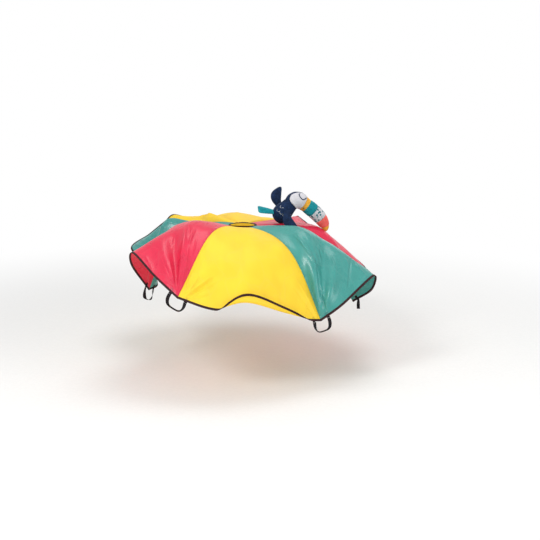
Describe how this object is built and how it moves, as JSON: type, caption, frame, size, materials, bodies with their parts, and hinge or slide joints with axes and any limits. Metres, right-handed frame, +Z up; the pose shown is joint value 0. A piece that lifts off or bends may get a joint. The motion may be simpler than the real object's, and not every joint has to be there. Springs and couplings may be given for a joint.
{
  "type": "play parachute",
  "caption": "Round play parachute of coloured cloth gores with a bound vent and rim, webbing hand loops at the seams, and a stuffed toucan tossed on it.",
  "frame": {"origin": "middle of the six rim corners, at the seams, where the players hold the cloth up", "axes": "+Z up, +Y away from the front of the picture, along the canopy's longest extent, +X to the right of the picture"},
  "size_m": [1.5175, 1.6126, 0.7368],
  "materials": {
    "cloth_yellow": "thin shiny nylon",
    "cloth_teal": "thin shiny nylon",
    "cloth_red": "thin shiny nylon",
    "binding_tape": "woven tape",
    "webbing_black": "woven webbing",
    "velour_navy": "short plush",
    "velour_teal": "short plush",
    "velour_white": "short plush",
    "velour_ochre": "short plush",
    "velour_coral": "short plush"
  },
  "bodies": {
    "canopy": {"panel_front": "cloth_yellow", "panel_front_right": "cloth_teal", "panel_back_right": "cloth_red", "panel_back": "cloth_yellow", "panel_back_left": "cloth_teal", "panel_front_left": "cloth_red", "rim_binding": "binding_tape", "vent_binding": "binding_tape", "strap_end_front_left_a": "webbing_black", "strap_end_front_left_b": "webbing_black", "strap_end_front_right_a": "webbing_black", "strap_end_front_right_b": "webbing_black", "strap_end_right_a": "webbing_black", "strap_end_right_b": "webbing_black", "strap_end_back_right_a": "webbing_black", "strap_end_back_right_b": "webbing_black", "strap_end_back_left_a": "webbing_black", "strap_end_back_left_b": "webbing_black", "strap_end_left_a": "webbing_black", "strap_end_left_b": "webbing_black"},
    "handle_front_left": {"handle_front_left": "webbing_black"},
    "handle_front_right": {"handle_front_right": "webbing_black"},
    "handle_right": {"handle_right": "webbing_black"},
    "handle_back_right": {"handle_back_right": "webbing_black"},
    "handle_back_left": {"handle_back_left": "webbing_black"},
    "handle_left": {"handle_left": "webbing_black"},
    "toucan": {"toucan_body": "velour_navy", "toucan_head": "velour_navy", "toucan_face_left": "velour_white", "toucan_face_right": "velour_white", "toucan_beak_base": "velour_ochre", "toucan_beak_second": "velour_teal", "toucan_beak_spotted": "velour_white", "toucan_beak_fourth": "velour_coral", "toucan_beak_tip": "velour_ochre", "toucan_tail": "velour_teal", "toucan_foot_left": "velour_ochre", "toucan_foot_right": "velour_ochre"},
    "toucan_wing_left": {"toucan_wing_left": "velour_navy"},
    "toucan_wing_right": {"toucan_wing_right": "velour_navy"}
  },
  "joints": [
    {"name": "handle_front_left_swing", "type": "hinge", "parent": "canopy", "child": "handle_front_left", "pos_m": [-0.3686, -0.76951, 0.0248], "axis": [0.8282, -0.3736, -0.4177], "range_deg": [-150, 40]},
    {"name": "handle_front_right_swing", "type": "hinge", "parent": "canopy", "child": "handle_front_right", "pos_m": [0.44368, -0.57459, -0.15339], "axis": [0.911, 0.341, 0.2321], "range_deg": [-125, 65]},
    {"name": "handle_right_swing", "type": "hinge", "parent": "canopy", "child": "handle_right", "pos_m": [0.708, -0.04684, -0.15495], "axis": [0.0742, 0.9628, 0.2598], "range_deg": [-115, 55]},
    {"name": "handle_back_right_swing", "type": "hinge", "parent": "canopy", "child": "handle_back_right", "pos_m": [0.36649, 0.75543, 0.19259], "axis": [-0.8951, 0.4365, 0.0907], "range_deg": [-150, 15]},
    {"name": "handle_back_left_swing", "type": "hinge", "parent": "canopy", "child": "handle_back_left", "pos_m": [-0.52887, 0.64738, 0.20749], "axis": [-0.6843, -0.4701, -0.5575], "range_deg": [-150, 5]},
    {"name": "handle_left_swing", "type": "hinge", "parent": "canopy", "child": "handle_left", "pos_m": [-0.58193, -0.07063, -0.09181], "axis": [-0.3887, -0.8503, 0.3549], "range_deg": [-105, 80]},
    {"name": "toucan_toss", "type": "slide", "parent": "canopy", "child": "toucan", "axis": [0.5, 0, 0.866], "range_m": [0, 0.6]},
    {"name": "toucan_wing_left_flap", "type": "hinge", "parent": "toucan", "child": "toucan_wing_left", "pos_m": [0.22633, 0.06734, 0.38843], "axis": [0.9464, 0.3075, 0.0993], "range_deg": [-100, 28]},
    {"name": "toucan_wing_right_flap", "type": "hinge", "parent": "toucan", "child": "toucan_wing_right", "pos_m": [0.26123, -0.04006, 0.38843], "axis": [0.9464, 0.3075, 0.0993], "range_deg": [-138, 8]}
  ]
}
